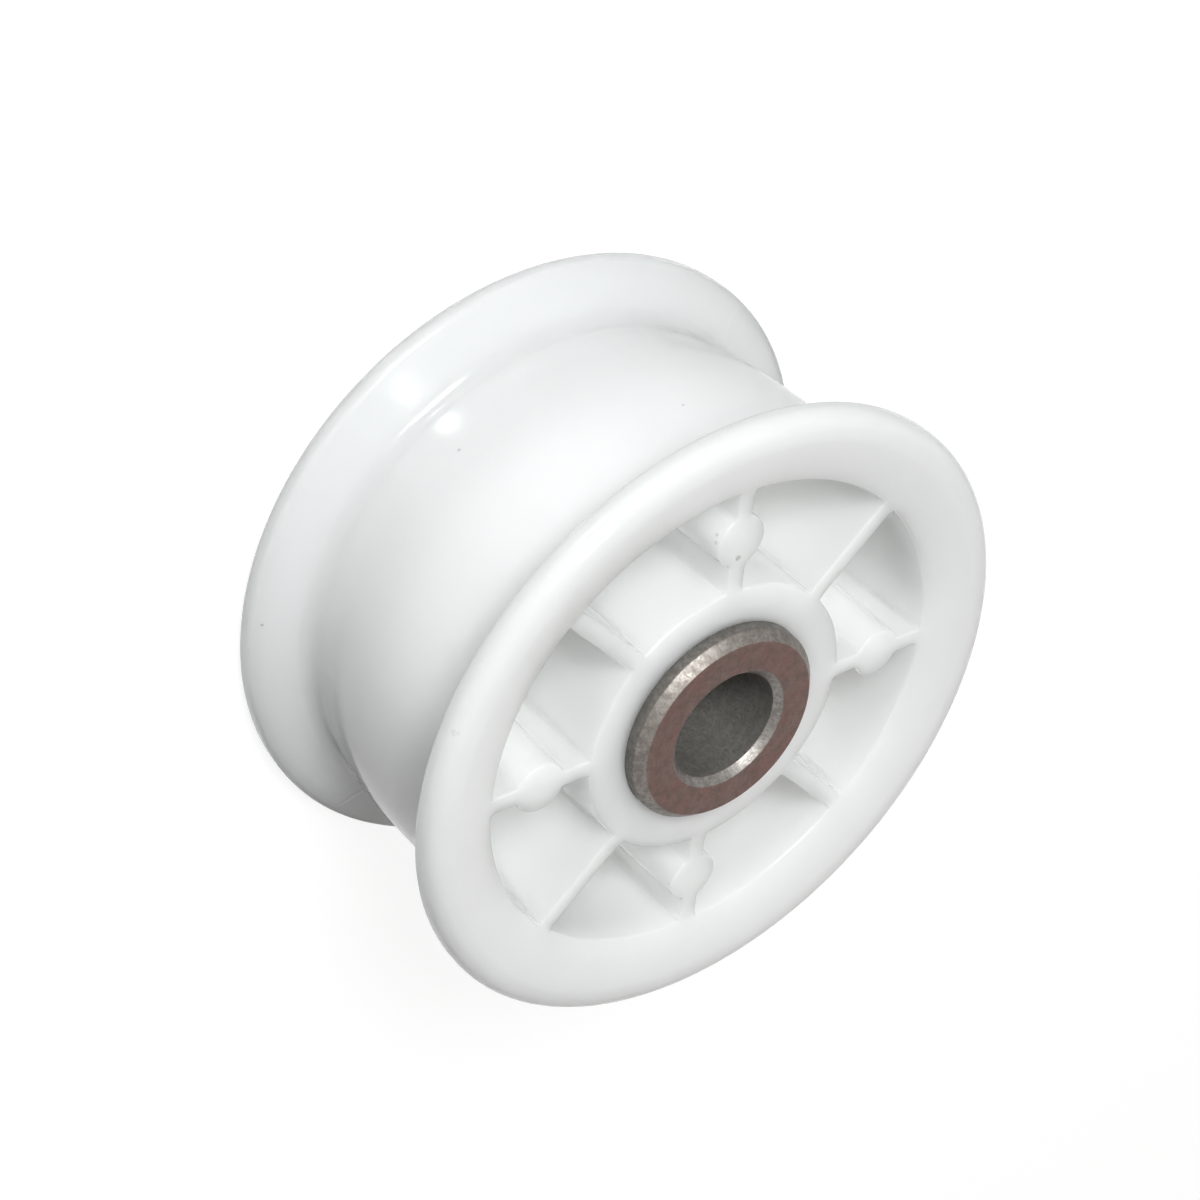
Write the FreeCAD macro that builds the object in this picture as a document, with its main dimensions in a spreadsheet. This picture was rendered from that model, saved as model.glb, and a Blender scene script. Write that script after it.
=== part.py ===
import FreeCAD, Part
import os
import Sketcher

# Dryer idler pulley: a moulded wheel with a sintered bush pressed into its hub.
# Lengths are millimetres and angles degrees. The bore axis is +Z, the origin lies on it at the middle
# of the belt track, and the face with the ejector bosses looks up.
# Radii are written as halves of diameters, and heights are measured from the middle plane.

# Driving dimensions: cell alias, value, what it is
SIZES = (
    ("flange_diameter", 55.0, "Outside diameter of both flanges"),
    ("wheel_width", 28.3, "Width over the two rims"),
    ("rim_thickness", 2.1, "Thickness of a flange at its rim"),
    ("rim_land", 0.8, "Width of the level ring between the rim's crest and its face rounding"),
    ("rim_face_rounding", 1.3, "Rounding of the rim on the open face"),
    ("rim_crest_reach", 0.33, "Reach of the flat over the rim's crest, to each side of its corner"),
    ("rim_groove_rounding", 0.5, "Rounding of the rim on the belt side"),
    ("flange_slope", 23.0, "Slope of a flange's belt side from square"),
    ("track_end_diameter", 46.0, "Belt track diameter at the flanges"),
    ("crown_rise", 0.8, "Rise of the belt track from its ends to its middle"),
    ("track_fillet", 1.5, "Fillet between belt track and flange"),
    ("face_recess", 1.4, "Depth of the hub face below the rim"),
    ("drum_wall", 1.8, "Thickness of the drum at the ends of the belt track"),
    ("mouth_rounding", 0.4, "Rounding of the mouth of the open face"),
    ("hub_diameter", 24.4, "Outside diameter of the hub at its face"),
    ("hub_rounding", 0.5, "Rounding of the hub's face edge"),
    ("web_thickness", 2.4, "Thickness of the middle web"),
    ("rib_count", 8, "Number of ribs in each open face"),
    ("rib_thickness", 1.5, "Thickness of a rib at its open edge"),
    ("rib_draft", 0.6, "Mould draft of each rib side"),
    ("rib_drop", 0.1, "Depth of the rib edges below the hub face"),
    ("boss_count", 4, "Number of ejector bosses"),
    ("boss_diameter", 4.4, "Diameter of an ejector boss"),
    ("bush_diameter", 17.5, "Outside diameter of the bush and hub bore"),
    ("bush_proud", 0.15, "Height of the bush's ends above the rims"),
    ("bore_diameter", 9.6, "Running bore of the bush"),
    ("bush_bevel_width", 0.75, "Radial width of the bush's outer bevel"),
    ("bush_bevel_height", 0.8, "Axial height of the bush's outer bevel"),
    ("bore_bevel", 0.6, "Bevel of the bore's mouth"),
)

ON_AXIS = -1
ORIGIN_POINT = 1
LINE_START = 1
LINE_END = 2
ARC_CENTRE = 3

doc = FreeCAD.newDocument("idler_pulley")


def fill_sheet(sizes):
    """One row for each driving dimension: its meaning, and its value under the alias."""
    sheet = doc.addObject("Spreadsheet::Sheet", "Sizes")
    for row, (alias, value, meaning) in enumerate(sizes, start=1):
        sheet.set("A%d" % row, meaning)
        sheet.set("B%d" % row, str(value))
        sheet.setAlias("B%d" % row, alias)
    doc.recompute()


def origin_feature(body, role):
    """A plane or axis of the body's own origin."""
    return next(part for part in body.Origin.OriginFeatures if part.Role == role)


def new_sketch(body, name, plane):
    """An empty sketch on one plane of the body's own origin."""
    sketch = body.newObject("Sketcher::SketchObject", name)
    sketch.AttachmentSupport = [(origin_feature(body, plane), "")]
    sketch.MapMode = "FlatFace"
    return sketch


def dimension(sketch, kind, index, point, formula):
    """A distance from the sketch's origin to a point, bound to the sheet."""
    number = sketch.addConstraint(Sketcher.Constraint(kind, ON_AXIS, ORIGIN_POINT, index, point, 1.0))
    sketch.setExpression("Constraints[%d]" % number, formula)


def section_sketch(body, name, corners, crown_centre=None):
    """Half section on the XZ plane, the same above and below the middle plane.

    The corners run from the bore, over the top face, to the outside, each as formulas for its radius
    and its height. The outside is a straight wall, or an arc about crown_centre on the X axis. The corners
    start as a zigzag, and the dimensions bring each one to its place.
    """
    sketch = new_sketch(body, name, "XZ_Plane")
    last = len(corners) - 1
    guess = [FreeCAD.Vector(10 + step, 10 + step % 2, 0) for step in range(last + 1)]
    below = [FreeCAD.Vector(point.x, -point.y, 0) for point in guess]
    upper = [sketch.addGeometry(Part.LineSegment(guess[k], guess[k + 1])) for k in range(last)]
    lower = [sketch.addGeometry(Part.LineSegment(below[k], below[k + 1])) for k in range(last)]
    bore = sketch.addGeometry(Part.LineSegment(below[0], guess[0]))
    if crown_centre is None:
        outside = sketch.addGeometry(Part.LineSegment(below[last], guess[last]))
    else:
        rise = FreeCAD.Vector(guess[last].x + 1, 0, 0)
        outside = sketch.addGeometry(Part.Arc(below[last], rise, guess[last]))
    for side in (upper, lower):
        for k in range(last - 1):
            meeting = Sketcher.Constraint("Coincident", side[k], LINE_END, side[k + 1], LINE_START)
            sketch.addConstraint(meeting)
    for wall, k, end in ((bore, 0, LINE_START), (outside, last - 1, LINE_END)):
        sketch.addConstraint(Sketcher.Constraint("Coincident", wall, LINE_END, upper[k], end))
        sketch.addConstraint(Sketcher.Constraint("Coincident", wall, LINE_START, lower[k], end))
    for k, (radius, height) in enumerate(corners):
        line, end = (k, LINE_START) if k < last else (last - 1, LINE_END)
        sketch.addConstraint(Sketcher.Constraint("Symmetric", upper[line], end, lower[line], end, ON_AXIS))
        dimension(sketch, "DistanceX", upper[line], end, radius)
        dimension(sketch, "DistanceY", upper[line], end, height)
    if crown_centre is not None:
        dimension(sketch, "DistanceX", outside, ARC_CENTRE, crown_centre)
    return sketch


def outline_sketch(sketch, corners):
    """A closed outline of straight lines, each corner as formulas for its two distances.

    The corners start on a parabola, and the dimensions bring each one to its place.
    """
    count = len(corners)
    guess = [FreeCAD.Vector(step, step * step, 0) for step in range(count)]
    sides = [sketch.addGeometry(Part.LineSegment(guess[k - 1], guess[k])) for k in range(count)]
    for k, side in enumerate(sides):
        sketch.addConstraint(Sketcher.Constraint("Coincident", sides[k - 1], LINE_END, side, LINE_START))
    for side, (across, up) in zip(sides, corners):
        dimension(sketch, "DistanceX", side, LINE_END, across)
        dimension(sketch, "DistanceY", side, LINE_END, up)


def turned(body, name, sketch):
    """The section carried once round the bore axis."""
    solid = body.newObject("PartDesign::Revolution", name)
    solid.Profile = sketch
    solid.ReferenceAxis = (sketch, ["V_Axis"])
    solid.Angle = 360
    doc.recompute()


def round_pattern(body, name, original, count):
    """Equal copies of a feature round the bore axis."""
    pattern = body.newObject("PartDesign::PolarPattern", name)
    pattern.Originals = [original]
    pattern.Axis = (origin_feature(body, "Z_Axis"), [""])
    pattern.Angle = 360
    pattern.setExpression("Occurrences", "Sizes." + count)
    body.Tip = pattern
    doc.recompute()


# Formulas shared by the wheel's features
RIM_RADIUS = "Sizes.flange_diameter / 2"
HUB_RADIUS = "Sizes.hub_diameter / 2"
TRACK_RADIUS = "Sizes.track_end_diameter / 2"
MOUTH_RADIUS = "(%s - Sizes.drum_wall)" % TRACK_RADIUS
BOSS_RADIUS = "(%s + %s) / 2" % (HUB_RADIUS, MOUTH_RADIUS)
CREST_RADIUS = RIM_RADIUS + " - Sizes.rim_face_rounding - Sizes.rim_land"
RIM_TOP = "Sizes.wheel_width / 2"
RIM_UNDER = RIM_TOP + " - Sizes.rim_thickness"
HUB_TOP = RIM_TOP + " - Sizes.face_recess"
WEB_TOP = "Sizes.web_thickness / 2"
RIB_TOP = HUB_TOP + " - Sizes.rib_drop"
RIB_INNER = "(Sizes.bush_diameter + Sizes.hub_diameter) / 4"
RIB_OUTER = TRACK_RADIUS + " - Sizes.drum_wall / 2"
DISH_ANGLE = "atan(Sizes.face_recess / (%s - %s))" % (CREST_RADIUS, MOUTH_RADIUS)
FLANGE_ANGLE = "Sizes.flange_slope * 1 deg"
FLANGE_DROP = "(Sizes.flange_diameter - Sizes.track_end_diameter) / 2 * tan(%s)" % FLANGE_ANGLE
FLANGE_TANGENT = "tan(45 deg - %s / 2)" % FLANGE_ANGLE
TRACK_TOP = "(%s - %s - Sizes.track_fillet * %s)" % (RIM_UNDER, FLANGE_DROP, FLANGE_TANGENT)
CROWN_CENTRE = "%s - (%s ^ 2 - Sizes.crown_rise ^ 2) / (2 * Sizes.crown_rise)" % (TRACK_RADIUS, TRACK_TOP)


def rounding_flats(rounding, centre_radius, centre_height, angles):
    """Corners of the flats that stand for one rounding: points of an arc at the given angles.

    Flats keep the facets of a ring few, where an arc carried round the axis has thousands.
    """
    across = "%s + Sizes.%s * cos(%s)"
    up = "%s + Sizes.%s * sin(%s)"
    return tuple(
        (across % (centre_radius, rounding, angle), up % (centre_height, rounding, angle)) for angle in angles
    )


def wheel_corners():
    """The wheel's section above the middle plane, from the hub bore over the open face to the belt track."""
    hub_edge = rounding_flats(
        "hub_rounding",
        HUB_RADIUS + " - Sizes.hub_rounding",
        HUB_TOP + " - Sizes.hub_rounding",
        ("90 deg", "0 deg"),
    )
    mouth_edge = rounding_flats(
        "mouth_rounding",
        MOUTH_RADIUS + " + Sizes.mouth_rounding",
        HUB_TOP + " - Sizes.mouth_rounding * tan(45 deg - %s / 2)" % DISH_ANGLE,
        ("180 deg", "(90 deg + %s)" % DISH_ANGLE),
    )
    rim_crest = (
        (
            "%s - Sizes.rim_crest_reach * cos(%s)" % (CREST_RADIUS, DISH_ANGLE),
            "%s - Sizes.rim_crest_reach * sin(%s)" % (RIM_TOP, DISH_ANGLE),
        ),
        (CREST_RADIUS + " + Sizes.rim_crest_reach", RIM_TOP),
    )
    rim_face = rounding_flats(
        "rim_face_rounding",
        RIM_RADIUS + " - Sizes.rim_face_rounding",
        RIM_TOP + " - Sizes.rim_face_rounding",
        ("90 deg", "60 deg", "30 deg", "0 deg"),
    )
    rim_groove = rounding_flats(
        "rim_groove_rounding",
        RIM_RADIUS + " - Sizes.rim_groove_rounding",
        RIM_UNDER + " + Sizes.rim_groove_rounding * " + FLANGE_TANGENT,
        ("0 deg", "(%s - 90 deg)" % FLANGE_ANGLE),
    )
    track_root = rounding_flats(
        "track_fillet",
        TRACK_RADIUS + " + Sizes.track_fillet",
        TRACK_TOP,
        ("(90 deg + %s)" % FLANGE_ANGLE, "(135 deg + %s / 2)" % FLANGE_ANGLE, "180 deg"),
    )
    hub_bore = (("Sizes.bush_diameter / 2", HUB_TOP),)
    pocket_floor = ((HUB_RADIUS, WEB_TOP), (MOUTH_RADIUS, WEB_TOP))
    return hub_bore + hub_edge + pocket_floor + mouth_edge + rim_crest + rim_face + rim_groove + track_root


def rib_sketch(body):
    """A rib's section across its length: thickest at the middle plane, drafted towards both edges.

    The sketch stands half way into the hub wall.
    """
    sketch = new_sketch(body, "rib_section", "YZ_Plane")
    sketch.setExpression("AttachmentOffset.Base.z", RIB_INNER)
    edge = "Sizes.rib_thickness / 2"
    root = "(%s + (%s) * tan(Sizes.rib_draft * 1 deg))" % (edge, RIB_TOP)
    corners = (
        (edge, RIB_TOP),
        (root, "0"),
        (edge, "-(%s)" % RIB_TOP),
        ("-" + edge, "-(%s)" % RIB_TOP),
        ("-" + root, "0"),
        ("-" + edge, RIB_TOP),
    )
    outline_sketch(sketch, corners)
    return sketch


def wheel_ribs(body):
    """The ribs of both open faces, from inside the hub wall to inside the drum wall."""
    rib = body.newObject("PartDesign::Pad", "rib")
    rib.Profile = rib_sketch(body)
    rib.setExpression("Length", RIB_OUTER + " - " + RIB_INNER)
    doc.recompute()
    round_pattern(body, "ribs", rib, "rib_count")


def wheel_bosses(body):
    """Round ejector bosses on every other front rib, half way out and level with the rib edges."""
    sketch = new_sketch(body, "boss_outline", "XY_Plane")
    circle = sketch.addGeometry(Part.Circle(FreeCAD.Vector(16, 0, 0), FreeCAD.Vector(0, 0, 1), 2))
    sketch.addConstraint(Sketcher.Constraint("PointOnObject", circle, ARC_CENTRE, ON_AXIS))
    dimension(sketch, "DistanceX", circle, ARC_CENTRE, BOSS_RADIUS)
    number = sketch.addConstraint(Sketcher.Constraint("Diameter", circle, 1.0))
    sketch.setExpression("Constraints[%d]" % number, "Sizes.boss_diameter")
    boss = body.newObject("PartDesign::Pad", "boss")
    boss.Profile = sketch
    boss.setExpression("Length", RIB_TOP)
    doc.recompute()
    round_pattern(body, "bosses", boss, "boss_count")


def pulley_wheel():
    """The white moulding: drum, flanges, hub, web, ribs and bosses in one piece."""
    body = doc.addObject("PartDesign::Body", "pulley_wheel")
    turned(body, "wheel_turned", section_sketch(body, "wheel_section", wheel_corners(), CROWN_CENTRE))
    wheel_ribs(body)
    wheel_bosses(body)
    return body


def bearing_bush():
    """The plain bearing, line to line in the hub bore, bevelled at both ends."""
    body = doc.addObject("PartDesign::Body", "bearing_bush")
    end = RIM_TOP + " + Sizes.bush_proud"
    corners = (
        ("Sizes.bore_diameter / 2", end + " - Sizes.bore_bevel"),
        ("Sizes.bore_diameter / 2 + Sizes.bore_bevel", end),
        ("Sizes.bush_diameter / 2 - Sizes.bush_bevel_width", end),
        ("Sizes.bush_diameter / 2", end + " - Sizes.bush_bevel_height"),
    )
    turned(body, "bush_turned", section_sketch(body, "bush_section", corners))
    return body


def write_parts(bodies):
    """Stop on any failed feature or bad solid, then write one file for each piece."""
    for item in doc.Objects:
        if "Invalid" in item.State or "Error" in item.State:
            raise RuntimeError("%s did not build" % item.Name)
    for body in bodies:
        if body.Shape.isNull() or not body.Shape.isValid():
            raise RuntimeError("%s has no valid solid" % body.Label)
    os.makedirs("parts", exist_ok=True)
    for body in bodies:
        body.Shape.exportStep("parts/%s.step" % body.Label)


fill_sheet(SIZES)
pieces = (pulley_wheel(), bearing_bush())
for piece in pieces:
    piece.Placement = FreeCAD.Placement()
doc.recompute()
write_parts(pieces)
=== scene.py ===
import math

import bmesh
import bpy
import numpy as np
from bpy.props import FloatProperty, FloatVectorProperty, PointerProperty
from bpy.types import Operator, Panel, PropertyGroup
from mathutils import Matrix, Vector


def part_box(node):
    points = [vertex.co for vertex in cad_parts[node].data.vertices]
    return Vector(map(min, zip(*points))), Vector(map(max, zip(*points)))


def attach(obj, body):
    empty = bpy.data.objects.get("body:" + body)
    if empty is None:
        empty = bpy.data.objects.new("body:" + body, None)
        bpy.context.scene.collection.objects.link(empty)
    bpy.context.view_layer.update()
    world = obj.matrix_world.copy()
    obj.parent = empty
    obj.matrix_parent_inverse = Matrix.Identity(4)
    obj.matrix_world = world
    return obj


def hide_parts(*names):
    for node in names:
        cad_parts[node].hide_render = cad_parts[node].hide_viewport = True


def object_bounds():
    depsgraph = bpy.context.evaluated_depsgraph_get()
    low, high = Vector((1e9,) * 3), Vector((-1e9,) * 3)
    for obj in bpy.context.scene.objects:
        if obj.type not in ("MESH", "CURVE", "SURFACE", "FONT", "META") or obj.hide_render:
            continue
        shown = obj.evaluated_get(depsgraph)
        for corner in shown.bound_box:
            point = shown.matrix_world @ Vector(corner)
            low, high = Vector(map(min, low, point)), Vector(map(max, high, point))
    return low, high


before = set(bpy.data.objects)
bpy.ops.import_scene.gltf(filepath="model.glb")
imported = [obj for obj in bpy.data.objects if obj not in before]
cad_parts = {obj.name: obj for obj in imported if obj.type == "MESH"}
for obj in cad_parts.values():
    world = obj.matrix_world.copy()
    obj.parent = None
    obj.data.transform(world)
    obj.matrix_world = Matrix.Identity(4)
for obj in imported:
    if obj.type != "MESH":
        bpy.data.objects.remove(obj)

bl_info = {
    "name": "Belt Idler Pulley",
    "version": (1, 0, 0),
    "blender": (4, 5, 0),
    "location": "3D View > Sidebar > Idler Pulley",
    "description": "Builds a moulded belt idler pulley, its sintered bush and a small studio",
    "category": "Add Mesh",
}

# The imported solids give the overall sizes.
CAD_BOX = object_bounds()
WHEEL_LOW, WHEEL_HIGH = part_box("pulley_wheel")
BUSH_LOW, BUSH_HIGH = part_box("bearing_bush")

MM = 0.001
SECTORS = 8
SECTOR = 2.0 * math.pi / SECTORS

# Grid lines along each stretch of a pocket's outline.
CORNER_STEPS = 6
RUN_STEPS = 5
BOSS_FILLET_STEPS = 5
BOSS_STEPS = 14
PLAIN_STEPS = 16
MOUTH_STEPS = 22
HUB_STEPS = 12

# Grid lines from a pocket's edge down to the middle of its floor.
EDGE_STEPS = 6
WALL_STEPS = 6
FLOOR_FILLET_STEPS = 8
FLOOR_STEPS = 4

# Grid lines of the turned surfaces: in a quarter turn of an arc and in any arc at least, from the end
# of the crown to its middle, and round the bush.
ARC_STEPS = 8
LEAST_ARC_STEPS = 3
CROWN_STEPS = 10
BUSH_STEPS = 160

# Longest straight runs of the turned profiles.
BELT_RUN = 1.0 * MM
BORE_RUN = 2.5 * MM
BUSH_RUN = 0.6 * MM

# Points closer than this are merged, and edges shorter than the second value are removed.
WELD = 2e-6
SHORTEST_EDGE = 0.1 * WELD

# The open face: how far its rings reach past the pockets' edges, in edge roundings; how far the drop to
# the ribs' tops reaches to either side of the hub's and the mouth's circle; and where the floor of a
# pocket shrinks to a point, as a share of the sector's angle.
RING_MARGIN = 1.8
HUB_BLEND = (0.3 * MM, 0.7 * MM)
MOUTH_BLEND = (0.7 * MM, 0.2 * MM)
FLOOR_MIDDLE = 0.53

# The belt side: angles of its grid lines close beside a rib's line, and of the first plain line; the
# share of the track where the crown has its own grid lines; the rounds it takes to find where the flange
# meets the crown; the parting line's angle, and how far its ridge stays off the rim.
RIB_LINES = np.radians((0.0, 0.2, 0.45, 0.9))
FIRST_PLAIN_LINE = math.radians(1.8)
CROWN_SHARE = 0.8
MEETING_ROUNDS = 6
PARTING_ANGLE = 0.75 * math.pi
PARTING_OFF_RIM = 0.6 * MM

# Between the hub's bore and the bush, so that their surfaces don't flicker.
BUSH_CLEARANCE = 0.02 * MM

# Specks of dirt: place on the wheel, size and strength.
SPECKS = (
    ((0.01917, 0.01375, -0.00466), 0.00016, 0.45),
    ((0.01529, 0.00014, 0.01265), 0.00026, 0.70),
    ((0.01763, 0.00200, 0.01205), 0.00016, 0.30),
    ((0.01709, 0.00217, 0.01224), 0.00017, 0.30),
    ((0.00959, 0.02554, 0.01356), 0.00030, 0.25),
    ((0.00293, 0.02642, -0.01166), 0.00014, 0.40),
    ((0.02365, -0.00035, 0.00386), 0.00012, 0.40),
)

# Lamps: name, direction, size in metres, light, tint, whether gloss shows them and whether they cast
# shadows.
LAMP_DISTANCE = 0.6
LAMPS = (
    ("key", (0.72, 0.26, 0.64), 0.20, 2.78, (0.96, 1.0, 1.0), True, True),
    ("sheen", (0.50, 0.35, 0.79), 0.10, 0.38, (1.0, 0.99, 0.98), True, True),
    ("top", (0.75, 0.54, -0.38), 0.20, 0.70, (1.0, 1.0, 0.99), False, True),
    ("fillet_spark", (0.88, 0.44, -0.07), 0.08, 0.35, (0.97, 0.99, 1.0), True, True),
    ("drum_spark", (0.463, 0.166, -0.871), 0.05, 0.12, (0.97, 0.99, 1.0), True, False),
    ("front", (-0.14, -0.26, 0.95), 0.20, 0.66, (1.0, 0.97, 0.94), False, True),
    ("flange_spark", (0.085, -0.065, 0.99), 0.03, 0.09, (0.97, 0.99, 1.0), True, False),
    ("low", (-0.72, -0.68, 0.17), 0.30, 0.55, (1.0, 0.95, 0.90), False, True),
    ("behind", (-0.35, -0.45, -0.82), 0.50, 0.50, (1.0, 1.0, 1.0), False, True),
)

# Camera sensor in millimetres and clipping in metres; the floor's half width, glow and grey.
SENSOR_WIDTH = 36.0
CLIP_START, CLIP_END = 0.01, 20.0
FLOOR_HALF = 3.0
FLOOR_GLOW = 0.86
FLOOR_GREY = (0.20, 0.20, 0.20, 1.0)

# Noises of the plastic and of the bush, in waves per metre.
CLOUD_WAVES, RIPPLE_WAVES, HANDLING_WAVES = 110.0, 260.0, 340.0
DIRT_CELLS, DIRT_EDGE_WAVES = 420.0, 6000.0
BLOTCH_WAVES, MOTTLE_WAVES, GRAIN_WAVES = 520.0, 1500.0, 4200.0
GRAIN_ROUGHNESS = 0.6

# Stretches of a noise or a distance, each with what it is turned into.
WHOLE = (0.0, 1.0)
NOISE_MIDDLE = (0.3, 0.7)
CLOUD_SPAN = (0.35, 0.70)
SPECK_SPAN, SPECK_WEIGHT = (0.7, 1.1), (1.0, 0.0)
SPECK_RAGGED, SPECK_LEAST = 0.9, 0.55
RARE_SPAN = (0.86, 0.87)
NEAR_SPAN, NEAR_WEIGHT = (0.03, 0.07), (0.30, 0.0)
BLOTCH_SPAN = (0.42, 0.62)
PORE_SPAN, PORE_WEIGHT = (0.36, 0.50), (0.55, 0.0)
WORN_SPAN, WORN_WEIGHT = (0.38, 0.62), (0.45, 0.0)

# Plastic: spread of its gloss, refraction, shine and the moulding's faint ripple.
GLOSS_SPREAD = 0.04
PLASTIC_IOR = 1.46
PLASTIC_SHINE = 0.34
RIPPLE = {"Strength": 0.06, "Distance": 0.00003}

# Bush: roughness of the dull surfaces, the outer bevel and the bore's mouth, each from the mottle's low
# end to its high end; how metallic the dull and the rubbed surfaces are; and its grain.
DULL_ROUGHNESS = (0.62, 0.46)
BEVEL_ROUGHNESS = (0.58, 0.44)
MOUTH_ROUGHNESS = (0.42, 0.34)
METALLIC = (0.55, 0.95)
GRAIN_BUMP = {"Strength": 0.40, "Distance": 0.00005}


def length(name, description, default):
    """A length property in metres."""
    return FloatProperty(name=name, description=description, default=default, unit="LENGTH",
                         precision=5)


def colour(name, description, default):
    """A linear colour property."""
    return FloatVectorProperty(name=name, description=description, default=default, subtype="COLOR",
                               size=3, min=0.0, max=1.0)


def share(name, description, default):
    """A property from 0 to 1."""
    return FloatProperty(name=name, description=description, default=default, subtype="FACTOR",
                         min=0.0, max=1.0)


class WheelSizes(PropertyGroup):
    """Sizes of the moulded wheel."""

    rim_diameter: length("Rim diameter", "Across the rim of a flange", WHEEL_HIGH.x - WHEEL_LOW.x)
    width: length("Width", "From one rim face to the other", WHEEL_HIGH.z - WHEEL_LOW.z)
    rim_thickness: length("Rim thickness", "Of the rim's outer edge", 0.0021)
    rim_land: length("Rim land", "Flat ring of the rim face", 0.0008)
    rim_face_rounding: length("Rim face rounding", "Edge between rim face and rim", 0.0013)
    rim_crest_rounding: length("Rim crest rounding", "Edge between rim face and dish", 0.0020)
    rim_groove_rounding: length("Rim groove rounding", "Edge between rim and belt side", 0.0005)
    flange_slope: FloatProperty(name="Flange slope", description="Of a flange's belt side",
                                default=math.radians(23.0), subtype="ANGLE")
    track_end_diameter: length("Track end diameter", "Of the belt track beside a flange", 0.0460)
    crown_rise: length("Crown rise", "Middle of the belt track above its ends", 0.0008)
    track_fillet: length("Track fillet", "Between belt track and flange", 0.0015)
    face_recess: length("Face recess", "Of the hub face below the rim face", 0.0014)
    drum_wall: length("Drum wall", "Thickness of the drum at a track end", 0.0018)
    hub_diameter: length("Hub diameter", "Of the hub between the pockets", 0.0244)
    web_thickness: length("Web thickness", "Of the wall between front and back pockets", 0.0024)
    rib_thickness: length("Rib thickness", "Of a rib at its top", 0.0015)
    rib_drop: length("Rib drop", "Of a rib's top below the hub face", 0.0001)
    boss_diameter: length("Boss diameter", "Of a round boss on a rib", 0.0044)
    edge_rounding: length("Edge rounding", "Of a pocket's upper edge", 0.0002)
    corner_rounding: length("Corner rounding", "Upright corner of a pocket, at its top", 0.0002)
    foot_rounding: length("Foot rounding", "Upright corner of a pocket, at the wall's foot", 0.0007)
    boss_fillet: length("Boss fillet", "Between a boss and its rib", 0.0005)
    wall_draft: length("Wall draft", "A pocket's narrowing on each side at its floor", 0.00025)
    floor_fillet: length("Floor fillet", "Between a pocket's wall and floor", 0.0005)
    bore_edge_rounding: length("Bore edge rounding", "Of the hub's edge round the bush", 0.0003)
    parting_height: length("Parting height", "Of the fine ridge where the mould halves met", 0.00004)
    parting_width: length("Parting width", "Of that ridge", 0.00016)


class BushSizes(PropertyGroup):
    """Sizes of the sintered bush."""

    diameter: length("Diameter", "Across the bush", BUSH_HIGH.x - BUSH_LOW.x)
    span: length("Length", "From end to end", BUSH_HIGH.z - BUSH_LOW.z)
    bore_diameter: length("Bore diameter", "Of the shaft bore", 0.0096)
    bevel_width: length("Bevel width", "Outer bevel, measured on the end face", 0.00075)
    bevel_height: length("Bevel height", "Outer bevel, measured along the bush", 0.0008)
    bore_bevel: length("Bore bevel", "Bevel of the bore's edge", 0.0006)
    edge_rounding: length("Edge rounding", "Of the bevels' own edges", 0.00012)
    wall_rounding: length("Wall rounding", "Edge between outer bevel and wall", 0.00025)


class PlasticFinish(PropertyGroup):
    """Look of the white plastic."""

    tone: colour("Tone", "Main colour", (0.975, 0.98, 0.976))
    shade: colour("Shade", "Colour of the faint cloudy patches", (0.958, 0.962, 0.954))
    dirt: colour("Dirt", "Colour of the specks", (0.22, 0.21, 0.20))
    roughness: share("Roughness", "Middle of the gloss", 0.15)
    glow: share("Translucence", "Weight of light scattered inside the plastic", 1.0)
    glow_depth: length("Translucence depth", "How far light travels inside the plastic", 0.009)


class BronzeFinish(PropertyGroup):
    """Look of the sintered bronze."""

    face: colour("Face", "Brown end face", (0.155, 0.096, 0.082))
    blotch: colour("Blotch", "Redder patches of the end face", (0.165, 0.086, 0.074))
    pore: colour("Pore", "Dark pores between the grains", (0.070, 0.055, 0.048))
    wall: colour("Wall", "Grey outer wall", (0.200, 0.190, 0.175))
    bore: colour("Bore", "Grey running bore", (0.255, 0.247, 0.230))
    burnish: colour("Burnish", "Pressed outer bevel", (0.250, 0.230, 0.212))
    mouth: colour("Mouth", "Rubbed bevel of the bore", (0.270, 0.257, 0.242))


class StudioSettings(PropertyGroup):
    """Camera, floor and background."""

    camera_place: FloatVectorProperty(name="Camera place", description="Of the camera's lens",
                                      default=(0.12110, 0.10590, 0.12465), subtype="TRANSLATION")
    camera_aim: FloatVectorProperty(name="Camera aim", description="Point in the middle of the picture",
                                    default=(0.00413, 0.00241, -0.00004), subtype="TRANSLATION")
    camera_roll: FloatProperty(name="Camera roll", description="Turn about the line of sight",
                               default=math.radians(131.27), subtype="ANGLE")
    lens: FloatProperty(name="Lens", description="Focal length in millimetres", default=75.45)
    backdrop: colour("Backdrop", "Colour of the floor and the background", (1.0, 1.0, 1.0))
    room: colour("Room", "Even light from all round", (0.02, 0.02, 0.02))


def steps(count):
    """Shares 0, 1/count, ... of a stretch, without its end, as one row."""
    return (np.arange(count) / count)[None, :]


def smooth(low, high, value):
    """0 below low and 1 above high, with 3t^2 - 2t^3 between."""
    t = np.clip((value - low) / (high - low), 0.0, 1.0)
    return t * t * (3.0 - 2.0 * t)


def arc(x, y, radius, start, stop, at):
    """Points (x + radius cos a, y + radius sin a), with a = start + at (stop - start)."""
    angle = start + (stop - start) * at
    return np.stack((x + radius * np.cos(angle), y + radius * np.sin(angle)), axis=-1)


def run(x0, x1, y, at):
    """Points of a line along x, from (x0, y) to (x1, y)."""
    x = x0 + (x1 - x0) * at
    return np.stack((x, y + 0.0 * x), axis=-1)


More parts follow.
